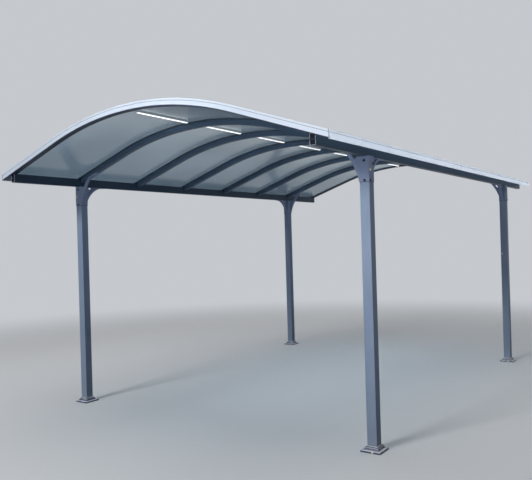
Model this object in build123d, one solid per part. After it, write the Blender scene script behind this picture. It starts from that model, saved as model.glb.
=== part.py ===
from build123d import *
import math
import os

# Arched carport for one car: four posts carry two eave beams, arched ribs span between the beams,
# and seven bays of roof sheet lie on the ribs inside a light edge trim.
# X runs across the width, Y along the length with the entrance at -Y, Z up, in millimetres.
# The origin is on the ground under the middle of the roof.

# Roof plan
bay_length = 700.0
bay_count = 7
overhang_bays = 1
roof_half_width = 1540.0
end_trim_outset = 20.0
post_setback = 122.0

# Roof arch: a round crown with straight flanks, measured on the underside of the sheets
arch_radius = 2640.0
flank_angle = 19.0

# Feet
foot_plate_width = 120.0
foot_plate_thickness = 6.0
foot_plate_corner_radius = 6.0
anchor_spacing = 90.0
anchor_hole_diameter = 11.0
cover_width = 140.0
cover_height = 40.0
cover_rim_height = 9.0
cover_step_radius = 6.0
cover_ledge = 3.0
cover_groove_depth = 2.5
cover_cove_sag = 3.0
cover_neck_drop = 14.0
cover_neck_margin = 14.0
cover_ridge_width = 2.5
cover_riser = 3.0
cover_collar_margin = 5.0
cover_chamfer = 2.0
cover_wall = 2.5

# Posts
post_width = 70.0
post_wall = 2.5
post_corner_radius = 3.0
clear_height = 1946.0

# Head brackets
sleeve_length = 168.0
sleeve_wall = 2.2
sleeve_cap = 5.0
sliding_clearance = 0.3
rib_arm_radius = 457.0
rib_arm_start_angle = 12.1
rib_arm_start_height = 3.0
rib_arm_depth = 24.0
rib_arm_width = 16.0
rib_arm_sweep_angle = 80.0
rib_pad_length = 84.0
rib_pad_shift = 10.0
rib_pad_thickness = 4.0
bracket_web_thickness = 6.0
bracket_web_recess = 2.5
bracket_notch_radius = 15.0
bracket_notch_distance = 29.0
bracket_notch_rise = 3.0
beam_notch_distance = 55.0
beam_arm_radius = 220.0
beam_arm_depth = 19.0
beam_arm_width = 24.0
beam_pad_width = 30.0
beam_pad_thickness = 4.0

# Eave beams
beam_width = 40.0
beam_height = 70.0
beam_wall = 2.5
beam_end_setback = 19.0
sheet_rest_clearance = 0.3

# Ribs
rib_depth = 45.0
rib_width = 40.0
rib_wall = 2.5
rib_flange_width = 52.0
rib_flange_thickness = 3.0
rib_stem_width = 6.0
end_rib_height = 12.0
end_rib_depth = 45.0
end_rib_wall = 2.5

# Roof sheets and the strips that clamp them
sheet_thickness = 6.0
sheet_side_gap = 2.0
sheet_edge_gap = 5.0
clamp_width = 50.0
clamp_crown_width = 40.0
clamp_base_thickness = 2.5
clamp_crown_thickness = 2.5

# Edge trims
trim_height = 43.0
trim_drop = 6.0
trim_wall = 3.0
trim_hood_depth = 38.0
trim_groove_depth = 1.2
trim_groove_width = 2.5
trim_groove_from_top = 13.0
trim_curl_radius = 5.0
trim_curl_wall = 2.0
trim_curl_sweep_angle = 200.0
corner_slit = 5.0

# Light bars under the sheets
light_line_offset = -60.0
light_length = 530.0
light_channel_width = 26.0
light_channel_height = 10.0
light_lens_width = 20.0
light_lens_height = 6.0

# Places worked out from the sizes above
flank = math.radians(flank_angle)
roof_half_length = bay_count * bay_length / 2 + end_trim_outset
post_x = roof_half_width - post_setback
post_y = (bay_count / 2 - overhang_bays) * bay_length
rib_places = [(i + 1 - bay_count / 2) * bay_length for i in range(bay_count - 1)]
beam_top = clear_height + beam_height
beam_inner_x = post_x - beam_width / 2
beam_outer_x = post_x + beam_width / 2
beam_half_length = roof_half_length - beam_end_setback
tangent_x = arch_radius * math.sin(flank)
sheet_low_at_beam = beam_top + sheet_rest_clearance
arch_centre_z = (
    sheet_low_at_beam + (beam_outer_x - tangent_x) * math.tan(flank) - arch_radius * math.cos(flank)
)
sleeve_half = post_width / 2 + sliding_clearance + sleeve_wall
sleeve_bottom = clear_height - sleeve_length
trim_rise = trim_height - trim_drop
beyond = 2 * roof_half_length


def roof_height(x, offset=0.0):
    """Height of the roof line at x, moved by offset along its own normal."""
    radius = arch_radius + offset
    reach = radius * math.sin(flank)
    if abs(x) <= reach:
        return arch_centre_z + math.sqrt(radius**2 - x**2)
    return arch_centre_z + radius * math.cos(flank) - (abs(x) - reach) * math.tan(flank)


def arch_line(offset, end_x, direction):
    """Straight flank, round crown and straight flank, drawn left to right or back again."""
    radius = arch_radius + offset
    reach = radius * math.sin(flank)
    spring = (reach, roof_height(reach, offset))
    end = (end_x, roof_height(end_x, offset))
    crown = (0, arch_centre_z + radius)
    s = -direction
    return [
        Line((s * end[0], end[1]), (s * spring[0], spring[1])),
        ThreePointArc((s * spring[0], spring[1]), crown, (-s * spring[0], spring[1])),
        Line((-s * spring[0], spring[1]), (-s * end[0], end[1])),
    ]


def prism_along_y(edges, y_low, y_high):
    """A closed outline in X and Z, extruded from y_low to y_high."""
    sheet = Face(Wire(edges))
    plane = Plane(origin=(0, y_high, 0), x_dir=(1, 0, 0), z_dir=(0, -1, 0))
    return extrude(plane * sheet, amount=y_high - y_low, dir=(0, -1, 0))


def prism_along_x(edges, x_low, x_high):
    """A closed outline in Y and Z, extruded from x_low to x_high."""
    sheet = Face(Wire(edges))
    plane = Plane(origin=(x_low, 0, 0), x_dir=(0, 1, 0), z_dir=(1, 0, 0))
    return extrude(plane * sheet, amount=x_high - x_low, dir=(1, 0, 0))


def arch_band(low, high, end_x, y_low, y_high):
    """The part of the arch between two offsets from the roof line and two places along Y."""
    lower = arch_line(low, end_x, 1)
    upper = arch_line(high, end_x, -1)
    edges = lower + [Line(lower[-1] @ 1, upper[0] @ 0)] + upper + [Line(upper[-1] @ 1, lower[0] @ 0)]
    return prism_along_y(edges, y_low, y_high)


def block(x_low, x_high, y_low, y_high, z_low, z_high):
    """A plain box between two corners."""
    centre = ((x_low + x_high) / 2, (y_low + y_high) / 2, (z_low + z_high) / 2)
    return Pos(*centre) * Box(x_high - x_low, y_high - y_low, z_high - z_low)


def square_tube(outer, inner, radius, z_low, z_high):
    """A square tube with rounded outside corners."""
    section = RectangleRounded(outer, outer, radius) - Rectangle(inner, inner)
    return Pos(0, 0, z_low) * extrude(section, amount=z_high - z_low)


def post():
    """Square tube from the foot plate up to the cap of the head bracket."""
    inner = post_width - 2 * post_wall
    return square_tube(
        post_width, inner, post_corner_radius, foot_plate_thickness, clear_height - sleeve_cap
    )


def foot_plate():
    """Flat plate under the post with four anchor holes."""
    outline = RectangleRounded(foot_plate_width, foot_plate_width, foot_plate_corner_radius)
    plate = extrude(outline, amount=foot_plate_thickness)
    hole = Cylinder(anchor_hole_diameter / 2, 3 * foot_plate_thickness)
    half = anchor_spacing / 2
    for x in (-half, half):
        for y in (-half, half):
            plate -= Pos(x, y, 0) * hole
    return plate


def square_moulding(half_section):
    """A moulding of square plan: one section run along X and along Y, and what both share."""
    mirrored = [edge.mirror(Plane.YZ) for edge in half_section]
    top_right = half_section[-1] @ 1
    base_right = half_section[0] @ 0
    closing = [
        Line(top_right, (-top_right.X, top_right.Y)),
        Line((-base_right.X, base_right.Y), base_right),
    ]
    edges = half_section + mirrored + closing
    reach = 2 * cover_width
    return prism_along_y(edges, -reach, reach) & prism_along_x(edges, -reach, reach)


def foot_cover():
    """Stepped moulded cover round the foot: rim, bead, groove, cove, ridge and sloping collar."""
    rim = cover_width / 2
    step = rim - cover_step_radius
    step_z = cover_rim_height + cover_step_radius
    cove = step - cover_ledge
    groove_z = step_z - cover_groove_depth
    neck = post_width / 2 + cover_neck_margin
    neck_z = cover_height - cover_neck_drop
    ridge = neck - cover_ridge_width
    collar = post_width / 2 + cover_collar_margin
    round_in = cover_step_radius * (1 - math.sqrt(0.5))
    outline = [
        Line((rim, 0), (rim, cover_rim_height)),
        ThreePointArc((rim, cover_rim_height), (rim - round_in, step_z - round_in), (step, step_z)),
        Line((step, step_z), (cove, step_z)),
        Line((cove, step_z), (cove, groove_z)),
        SagittaArc((cove, groove_z), (neck, neck_z), cover_cove_sag),
        Line((neck, neck_z), (ridge, neck_z)),
        Line((ridge, neck_z), (ridge, neck_z + cover_riser)),
        Line((ridge, neck_z + cover_riser), (collar, cover_height - cover_chamfer)),
        Line((collar, cover_height - cover_chamfer), (collar - cover_chamfer, cover_height)),
    ]
    inner_rim = rim - cover_wall
    shoulder = (cove - cover_wall, groove_z - cover_wall)
    waist = (ridge - cover_wall, neck_z - cover_cove_sag - cover_wall)
    inside = [
        Line((inner_rim, 0), (inner_rim, cover_rim_height - cover_wall)),
        Line((inner_rim, cover_rim_height - cover_wall), shoulder),
        Line(shoulder, waist),
        Line(waist, (collar - cover_wall, cover_height - 2 * cover_wall)),
    ]
    hole = 2 * (post_width / 2 + sliding_clearance)
    cover = square_moulding(outline) - square_moulding(inside)
    return cover - Box(hole, hole, 4 * cover_height)


def rib_arm_centre():
    """Centre of the rib arm's curve, as distance inward from the post axis and height."""
    start = math.radians(rib_arm_start_angle)
    return (
        sleeve_half + rib_arm_radius * math.cos(start),
        sleeve_bottom + rib_arm_start_height - rib_arm_radius * math.sin(start),
    )


def ring_sector(centre, inner, outer, from_angle, to_angle):
    """Closed outline of a ring sector, with its angles in degrees."""

    def place(radius, angle):
        a = math.radians(angle)
        return (centre[0] + radius * math.cos(a), centre[1] + radius * math.sin(a))

    middle = (from_angle + to_angle) / 2
    inner_arc = ThreePointArc(place(inner, from_angle), place(inner, middle), place(inner, to_angle))
    outer_arc = ThreePointArc(place(outer, to_angle), place(outer, middle), place(outer, from_angle))
    return [
        inner_arc,
        Line(inner_arc @ 1, outer_arc @ 0),
        outer_arc,
        Line(outer_arc @ 1, inner_arc @ 0),
    ]


def rib_arm(front):
    """Curved arm from the sleeve up to the rib, its web, and the pad under the rib.

    Inward is -X from the post axis here, and front is the bracket's outer face in Y.
    """
    centre_u, centre_z = rib_arm_centre()
    centre = (-centre_u, centre_z)
    back = front + rib_arm_width
    sector = ring_sector(
        centre, rib_arm_radius, rib_arm_radius + rib_arm_depth, 0, rib_arm_sweep_angle
    )
    arm = prism_along_y(sector, front, back)
    web_front = front + bracket_web_recess
    web = block(
        -sleeve_half - 2 * rib_arm_depth - bracket_notch_distance,
        -sleeve_half,
        web_front,
        web_front + bracket_web_thickness,
        sleeve_bottom,
        clear_height,
    )
    across = Rot(90, 0, 0)
    web -= Pos(-centre_u, front, centre_z) * across * Cylinder(rib_arm_radius, 4 * rib_arm_width)
    notch = across * Cylinder(bracket_notch_radius, 4 * rib_arm_width)
    web -= Pos(-sleeve_half - bracket_notch_distance, front, clear_height + bracket_notch_rise) * notch
    return arm + web


def head_bracket():
    """Sleeve round the post head with a curved arm to the rib and one under the eave beam."""
    outer = 2 * sleeve_half
    inner = post_width + 2 * sliding_clearance
    sleeve = square_tube(outer, inner, post_corner_radius, sleeve_bottom, clear_height)
    sleeve += block(-inner / 2, inner / 2, -inner / 2, inner / 2, clear_height - sleeve_cap, clear_height)
    arm = rib_arm(-sleeve_half)
    inward = block(-rib_arm_radius, -sleeve_half, -post_width, post_width, sleeve_bottom, beyond)
    under_rib = arch_band(-rib_arm_radius, -rib_depth, roof_half_width, -post_width, post_width)
    arm = arm & inward & (Pos(-post_x, 0, 0) * under_rib)
    pad_under_rib = arch_band(
        -rib_depth - rib_pad_thickness, -rib_depth, roof_half_width, -sleeve_half, rib_width / 2
    )
    pad_centre = rib_arm_meets_rib() - rib_pad_shift
    pad_reach = rib_pad_length / 2 * math.cos(flank)
    pad_zone = block(
        -pad_centre - pad_reach, -pad_centre + pad_reach, -post_width, post_width, sleeve_bottom, beyond
    )
    arm += (Pos(-post_x, 0, 0) * pad_under_rib) & pad_zone
    return sleeve + arm + beam_arm()


def beam_arm():
    """Quarter-round arm from the sleeve to the underside of the beam, with its web and pad."""
    arm_end = sleeve_half + beam_arm_radius
    centre_z = clear_height - beam_arm_radius
    start_z = sleeve_bottom + rib_arm_start_height
    pad_low = clear_height - beam_pad_thickness
    ring = ring_sector((arm_end, centre_z), beam_arm_radius, beam_arm_radius + beam_arm_depth, 90, 180)
    arm = prism_along_x(ring, -beam_arm_width / 2, beam_arm_width / 2)
    arm = arm & block(-beam_arm_width, beam_arm_width, sleeve_half, arm_end, start_z, pad_low)
    half_web = bracket_web_thickness / 2
    web = block(-half_web, half_web, sleeve_half, arm_end, start_z, pad_low)
    across = Rot(0, 90, 0)
    web -= Pos(0, arm_end, centre_z) * across * Cylinder(beam_arm_radius + beam_arm_depth / 2, beam_arm_width)
    notch = across * Cylinder(bracket_notch_radius, beam_arm_width)
    web -= Pos(0, sleeve_half + beam_notch_distance, pad_low) * notch
    pad = block(
        -beam_pad_width / 2,
        beam_pad_width / 2,
        sleeve_half,
        arm_end + beam_pad_thickness,
        pad_low,
        clear_height,
    )
    return arm + web + pad


def rib_arm_meets_rib():
    """Distance inward from the post axis where the arm's lower edge reaches the rib's underside."""
    centre_u, centre_z = rib_arm_centre()
    low, high = sleeve_half, centre_u
    for _ in range(60):
        middle = (low + high) / 2
        edge_z = centre_z + math.sqrt(rib_arm_radius**2 - (centre_u - middle) ** 2)
        if edge_z < roof_height(post_x - middle, -rib_depth):
            low = middle
        else:
            high = middle
    return (low + high) / 2


def eave_beam():
    """Rectangular tube with a web across its middle, open at both ends."""
    section = Rectangle(beam_width, beam_height)
    cell_height = (beam_height - 3 * beam_wall) / 2
    cell = Rectangle(beam_width - 2 * beam_wall, cell_height)
    for side in (-1, 1):
        section -= Pos(0, side * (cell_height + beam_wall) / 2) * cell
    plane = Plane(
        origin=(0, beam_half_length, clear_height + beam_height / 2), x_dir=(1, 0, 0), z_dir=(0, -1, 0)
    )
    return extrude(plane * section, amount=2 * beam_half_length)


def rib():
    """Arched box section between the beams, with a seat flange and a stem between the sheets."""
    half = rib_width / 2
    body = arch_band(-rib_depth, -rib_flange_thickness, beam_inner_x, -half, half)
    hollow = arch_band(
        -rib_depth + rib_wall,
        -rib_flange_thickness - rib_wall,
        beam_inner_x + rib_wall,
        -half + rib_wall,
        half - rib_wall,
    )
    flange = arch_band(
        -rib_flange_thickness, 0, beam_inner_x, -rib_flange_width / 2, rib_flange_width / 2
    )
    stem_end = roof_half_width - trim_wall - sheet_edge_gap
    stem = arch_band(0, sheet_thickness, stem_end, -rib_stem_width / 2, rib_stem_width / 2)
    return body - hollow + flange + stem


def clamp_strip():
    """Arched strip that holds two sheets down on a rib."""
    end_x = roof_half_width - trim_hood_depth - sheet_edge_gap
    base_top = sheet_thickness + clamp_base_thickness
    base = arch_band(sheet_thickness, base_top, end_x, -clamp_width / 2, clamp_width / 2)
    crown = arch_band(
        base_top,
        base_top + clamp_crown_thickness,
        end_x,
        -clamp_crown_width / 2,
        clamp_crown_width / 2,
    )
    return base + crown


def roof_sheet(index):
    """One bay of roof sheet, from rib to rib or from rib to end trim."""
    side = rib_stem_width / 2 + sheet_side_gap
    y_low = (index - bay_count / 2) * bay_length + side
    y_high = (index + 1 - bay_count / 2) * bay_length - side
    end_y = roof_half_length - trim_wall - sheet_edge_gap
    if index == 0:
        y_low = -end_y
    if index == bay_count - 1:
        y_high = end_y
    return arch_band(0, sheet_thickness, roof_half_width - trim_wall - sheet_edge_gap, y_low, y_high)


def end_rib():
    """Shallow arched box under the sheet's end over the entrance, notched for the beams."""
    front = trim_wall - roof_half_length
    back = front + end_rib_depth
    end_x = roof_half_width - 2 * trim_curl_radius - corner_slit
    box = arch_band(-end_rib_height, 0, end_x, front, back)
    box -= arch_band(
        end_rib_wall - end_rib_height,
        -end_rib_wall,
        roof_half_width,
        front + end_rib_wall,
        back - end_rib_wall,
    )
    half = beam_width / 2 + sheet_rest_clearance
    notch_front = beam_end_setback - roof_half_length - sheet_rest_clearance
    for side in (-1, 1):
        box -= block(
            side * post_x - half,
            side * post_x + half,
            notch_front,
            back + end_rib_wall,
            0,
            beam_top + sheet_rest_clearance,
        )
    return box


def arch_trim():
    """Edge trim over the entrance: grooved outer web, and a hood with a lip over the sheet's end."""
    front = -roof_half_length
    end_x = roof_half_width - trim_wall - corner_slit
    web = arch_band(-trim_drop, trim_rise, end_x, front, front + trim_wall)
    groove_top = trim_rise - trim_groove_from_top
    groove = arch_band(
        groove_top - trim_groove_width, groove_top, roof_half_width, front, front + trim_groove_depth
    )
    hood = arch_band(trim_rise - trim_wall, trim_rise, end_x, front, front + trim_hood_depth)
    lip = arch_band(
        sheet_thickness + sheet_rest_clearance,
        trim_rise,
        end_x,
        front + trim_hood_depth - trim_wall,
        front + trim_hood_depth,
    )
    return web - groove + hood + lip


def eave_trim():
    """Edge trim along the right eave: upright web curled inward below, sheet seat and hood."""
    web_low = roof_height(roof_half_width, -trim_drop)
    web_top = roof_height(roof_half_width, trim_rise)
    web_inner = roof_half_width - trim_wall
    curl_rise = trim_curl_radius * math.sin(math.radians(trim_curl_sweep_angle - 180))
    curl_z = web_low - curl_rise - sheet_rest_clearance
    web = block(web_inner, roof_half_width, -roof_half_length, roof_half_length, curl_z, web_top)
    groove_top = web_top - trim_groove_from_top
    web -= block(
        roof_half_width - trim_groove_depth,
        roof_half_width,
        -roof_half_length,
        roof_half_length,
        groove_top - trim_groove_width,
        groove_top,
    )
    curl_section = ring_sector(
        (roof_half_width - trim_curl_radius, curl_z),
        trim_curl_radius - trim_curl_wall,
        trim_curl_radius,
        -trim_curl_sweep_angle,
        0,
    )
    curl = prism_along_y(curl_section, -roof_half_length, roof_half_length)
    inner_half_length = roof_half_length - trim_wall - end_rib_depth - corner_slit
    seat = arch_band(-trim_wall, 0, roof_half_width, -inner_half_length, inner_half_length)
    seat_zone = block(
        roof_half_width - trim_hood_depth, roof_half_width, -roof_half_length, roof_half_length, 0, beyond
    )
    hood_low = sheet_thickness + sheet_rest_clearance
    lip_height = web_top - roof_height(roof_half_width - trim_hood_depth, hood_low)
    hood = block(
        roof_half_width - trim_hood_depth,
        roof_half_width,
        -inner_half_length,
        inner_half_length,
        web_top - trim_wall,
        web_top,
    )
    lip = arch_band(hood_low, hood_low + lip_height, roof_half_width, -inner_half_length, inner_half_length)
    lip_zone = block(
        roof_half_width - trim_hood_depth,
        roof_half_width - trim_hood_depth + trim_wall,
        -roof_half_length,
        roof_half_length,
        0,
        web_top,
    )
    return web + curl + (seat & seat_zone) + hood + (lip & lip_zone)


def light_places():
    """The middle of each bay along Y."""
    return [(i + 0.5 - bay_count / 2) * bay_length for i in range(bay_count)]


def light_channel(y):
    """Shallow channel fixed under a sheet."""
    band = arch_band(-light_channel_height, 0, roof_half_width, y - light_length / 2, y + light_length / 2)
    half = light_channel_width / 2
    zone = block(light_line_offset - half, light_line_offset + half, -beyond, beyond, 0, beyond)
    return band & zone


def light_bar(y):
    """Rounded lens under a channel."""
    half = light_lens_width / 2
    top = roof_height(light_line_offset, -light_channel_height) - sheet_rest_clearance
    drop = top - light_lens_height
    outline = [
        Line((light_line_offset - half, top), (light_line_offset + half, top)),
        ThreePointArc(
            (light_line_offset + half, top), (light_line_offset, drop), (light_line_offset - half, top)
        ),
    ]
    return prism_along_y(outline, y - light_length / 2, y + light_length / 2)


def placed(shape, x_side, y_side):
    """A copy for one corner, from the piece drawn for the front right corner."""
    if x_side < 0:
        shape = mirror(shape, about=Plane.YZ)
    if y_side > 0:
        shape = mirror(shape, about=Plane.XZ)
    return Pos(x_side * post_x, y_side * post_y, 0) * shape


def save(name, *shapes):
    """Write one named piece, which may be several separate solids."""
    solids = [solid for shape in shapes for solid in shape.solids()]
    export_step(solids[0] if len(solids) == 1 else Compound(children=solids), f"parts/{name}.step")


def build():
    os.makedirs("parts", exist_ok=True)
    corners = {
        "front_left": (-1, -1),
        "front_right": (1, -1),
        "rear_right": (1, 1),
        "rear_left": (-1, 1),
    }
    pieces = {
        "post": post(),
        "foot_plate": foot_plate(),
        "foot_cover": foot_cover(),
        "head_bracket": head_bracket(),
    }
    for corner, (x_side, y_side) in corners.items():
        for piece, shape in pieces.items():
            save(f"{corner}_{piece}", placed(shape, x_side, y_side))
    beam = eave_beam()
    trim = eave_trim()
    for side_name, side in (("left", -1), ("right", 1)):
        save(f"{side_name}_eave_beam", Pos(side * post_x, 0, 0) * beam)
        save(f"{side_name}_eave_trim", trim if side > 0 else mirror(trim, about=Plane.YZ))
    for name, shape in (("end_rib", end_rib()), ("arch_trim", arch_trim())):
        save(f"front_{name}", shape)
        save(f"rear_{name}", mirror(shape, about=Plane.XZ))
    one_rib = rib()
    for number, y in enumerate(rib_places, 1):
        save(f"roof_rib_{number}", Pos(0, y, 0) * one_rib)
    strip = clamp_strip()
    save("clamp_strips", *[Pos(0, y, 0) * strip for y in rib_places])
    for index in range(bay_count):
        save(f"roof_sheet_{index + 1}", roof_sheet(index))
    save("light_channels", *[light_channel(y) for y in light_places()])
    save("light_bars", *[light_bar(y) for y in light_places()])


build()
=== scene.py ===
import bpy
import math
import numpy as np
from mathutils import Matrix


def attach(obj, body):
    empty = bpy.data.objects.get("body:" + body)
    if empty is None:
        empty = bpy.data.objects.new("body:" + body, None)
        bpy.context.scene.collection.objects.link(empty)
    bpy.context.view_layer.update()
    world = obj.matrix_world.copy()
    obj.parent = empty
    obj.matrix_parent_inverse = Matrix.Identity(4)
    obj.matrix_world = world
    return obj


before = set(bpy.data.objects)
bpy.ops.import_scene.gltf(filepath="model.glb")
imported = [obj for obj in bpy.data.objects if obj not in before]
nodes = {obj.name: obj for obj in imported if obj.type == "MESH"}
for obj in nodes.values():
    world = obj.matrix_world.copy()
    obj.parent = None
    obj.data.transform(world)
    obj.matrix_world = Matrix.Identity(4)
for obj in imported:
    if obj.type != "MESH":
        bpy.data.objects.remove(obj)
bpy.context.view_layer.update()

# Sizes in metres, as the frame has them
ROOF_HALF_WIDTH, ROOF_HALF_LENGTH = 1.540, 2.470
POST_X, POST_Y = 1.418, 1.750
POST_HALF, POST_CORNER = 0.035, 0.003
SLEEVE_HALF, SLEEVE_BOTTOM = 0.0375, 1.778
RIB_PLACES = np.linspace(-1.750, 1.750, 6)
ARCH_RADIUS, ARCH_CENTRE_Z = 2.640, -0.2807
FLANK = math.radians(19.0)
SHEET_THICKNESS = 0.006
CLAMP_HALF_WIDTH, CLAMP_TOP = 0.025, 0.011
RIB_FLANGE_HALF = 0.026
BEAM_HALF_LENGTH = 2.451
BEAM_LOW, BEAM_HEIGHT, BEAM_WIDTH, BEAM_WALL = 1.946, 0.070, 0.040, 0.0025
COVER_HEIGHT, COVER_HALF = 0.040, 0.070
TRIM_RISE = 0.037
GROOVE_FROM_TOP, GROOVE_WIDTH, GROOVE_DEPTH = 0.013, 0.0025, 0.0012

# Signs of x and y at the front left, front right, rear right and rear left corner
CORNER_SIGNS = np.array([(-1, -1), (1, -1), (1, 1), (-1, 1)], float)
# Directions that a face looks in at the front right corner, mirrored at the others
FRONT, SIDE, INWARD = (0, -1, 0), (1, 0, 0), (0, 1, 0)


# ---------------------------------------------------------------- surfaces

def roof_line(x, offset):
    """Height and outward normal of the roof line at x, moved by offset along its own normal.

    A circle of the arch radius over the crown, and its tangent lines beyond the flank angle."""
    x = np.asarray(x, float)
    radius = ARCH_RADIUS + offset
    reach = radius * math.sin(FLANK)
    on_crown = np.abs(x) <= reach
    crown_z = ARCH_CENTRE_Z + np.sqrt(np.maximum(radius**2 - np.minimum(np.abs(x), reach) ** 2, 0))
    flank_z = ARCH_CENTRE_Z + radius * math.cos(FLANK) - (np.abs(x) - reach) * math.tan(FLANK)
    z = np.where(on_crown, crown_z, flank_z)
    lean = np.where(on_crown, x / radius, np.sign(x) * math.sin(FLANK))
    normal = np.stack([lean, np.zeros_like(x), np.sqrt(1 - lean**2)], -1)
    return z, normal


def round_turn(turns):
    """Angles v of so many even steps once round."""
    return np.arange(turns) * 2 * math.pi / turns


def add_piece(name, points, faces):
    """One smooth mesh object at the origin from whole arrays, riding on the frame."""
    mesh = bpy.data.meshes.new(name)
    mesh.from_pydata(points.reshape(-1, 3).tolist(), [], faces)
    mesh.polygons.foreach_set("use_smooth", np.full(len(mesh.polygons), True))
    mesh.update()
    piece = bpy.data.objects.new(name, mesh)
    bpy.context.scene.collection.objects.link(piece)
    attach(piece, "root")
    return piece


def turned_form(radius, height, turns, sides=0):
    """A turned form: point(u, v) = (r(u) cos v, r(u) sin v, h(u)), where r and h are the profile.

    With sides, r is divided by cos of the angle from the middle of the nearest flat, which makes a prism."""
    v = round_turn(turns)
    stretch = np.ones(turns)
    if sides:
        sector = 2 * math.pi / sides
        past_rounding = 1e-9  # keeps a corner's angle from falling just short of its sector
        stretch = 1 / np.cos((v + past_rounding) % sector - sector / 2)
    r = np.asarray(radius, float)[:, None] * stretch[None, :]
    h = np.broadcast_to(np.asarray(height, float)[:, None], r.shape)
    return np.stack([r * np.cos(v), r * np.sin(v), h], -1)


def many_turned(name, form, origins, axes):
    """Copies of a turned form: copy(u, v) = origin + form_x A + form_y B + form_h N for each origin and axis N.

    A pole vertex closes each end of every copy."""
    origins = np.asarray(origins, float).reshape(-1, 3)
    n = np.asarray(axes, float).reshape(-1, 3)
    n = n / np.linalg.norm(n, axis=1, keepdims=True)
    steep = 0.9
    upright = np.abs(n[:, 2:3]) >= steep
    a = np.cross(np.where(upright, [[0.0, 1.0, 0.0]], [[0.0, 0.0, 1.0]]), n)
    a = a / np.linalg.norm(a, axis=1, keepdims=True)
    basis = np.stack([a, np.cross(n, a), n], 1)
    rows, turns = form.shape[:2]
    local = np.concatenate([form[0].mean(0)[None], form.reshape(-1, 3), form[-1].mean(0)[None]])
    points = origins[:, None, :] + np.einsum("pk,nkc->npc", local, basis)
    i, j = np.meshgrid(np.arange(rows - 1), np.arange(turns), indexing="ij")
    k = (j + 1) % turns
    low, high = 1 + i * turns, 1 + (i + 1) * turns
    walls = np.stack([low + j, low + k, high + k, high + j], -1).reshape(-1, 4)
    t = np.arange(turns)
    s = (t + 1) % turns
    last = 1 + (rows - 1) * turns
    bottom = np.stack([np.zeros_like(t), 1 + s, 1 + t], -1)
    top = np.stack([np.full_like(t, len(local) - 1), last + t, last + s], -1)
    shift = np.arange(len(origins))[:, None, None] * len(local)
    faces = (walls[None] + shift).reshape(-1, 4).tolist()
    faces += (bottom[None] + shift).reshape(-1, 3).tolist()
    faces += (top[None] + shift).reshape(-1, 3).tolist()
    return add_piece(name, points, faces)


def carried_profiles(name, paths, sides_a, sides_b, profile, closed_path=False):
    """A closed profile carried along each path: point(u, v) = path(u) + p(v) A(u) + q(v) B(u).

    Where A, B, the path's direction and the profile's sense make a left hand, v runs the other way round, so
    that every face points outwards."""
    paths, sides_a, sides_b = (np.asarray(array, float) for array in (paths, sides_a, sides_b))
    p, q = np.asarray(profile, float).T
    sense = (p * np.roll(q, -1) - np.roll(p, -1) * q).sum()
    hand = sense * (np.cross(sides_a[:, 0], sides_b[:, 0]) * (paths[:, 1] - paths[:, 0])).sum(-1)
    points = (
        paths[:, :, None, :]
        + p[None, None, :, None] * sides_a[:, :, None, :]
        + q[None, None, :, None] * sides_b[:, :, None, :]
    )
    points = np.where(hand[:, None, None, None] < 0, points[:, :, ::-1], points)
    count, steps, turns = points.shape[:3]
    spans = steps if closed_path else steps - 1
    i, j = np.meshgrid(np.arange(spans), np.arange(turns), indexing="ij")
    i2, j2 = (i + 1) % steps, (j + 1) % turns
    walls = np.stack([i * turns + j, i * turns + j2, i2 * turns + j2, i2 * turns + j], -1).reshape(-1, 4)
    shift = np.arange(count)[:, None, None] * steps * turns
    faces = (walls[None] + shift).reshape(-1, 4).tolist()
    if not closed_path:
        first = np.arange(turns)[::-1]
        last = np.arange(turns) + (steps - 1) * turns
        faces += (first[None] + shift[:, 0]).tolist() + (last[None] + shift[:, 0]).tolist()
    return add_piece(name, points, faces)


def round_profile(radius, turns=8):
    """Points of a circle."""
    v = round_turn(turns)
    return np.stack([radius * np.cos(v), radius * np.sin(v)], -1)


# ---------------------------------------------------------------- shader helpers

COLOR, FLOAT, VECTOR = "NodeSocketColor", "NodeSocketFloat", "NodeSocketVector"
# Numbers of a Mix node's colour sockets
MIX_A, MIX_B, MIX_RESULT = 6, 7, 2


def new_group(name, inputs, outputs):
    """A shader node group with named sockets; each entry is (name, type, value)."""
    group = bpy.data.node_groups.new(name, "ShaderNodeTree")
    for label, kind, value in inputs:
        socket = group.interface.new_socket(label, in_out="INPUT", socket_type=kind)
        socket.default_value = value
    for label, kind in outputs:
        group.interface.new_socket(label, in_out="OUTPUT", socket_type=kind)
    return group, group.nodes.new("NodeGroupInput"), group.nodes.new("NodeGroupOutput")


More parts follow.
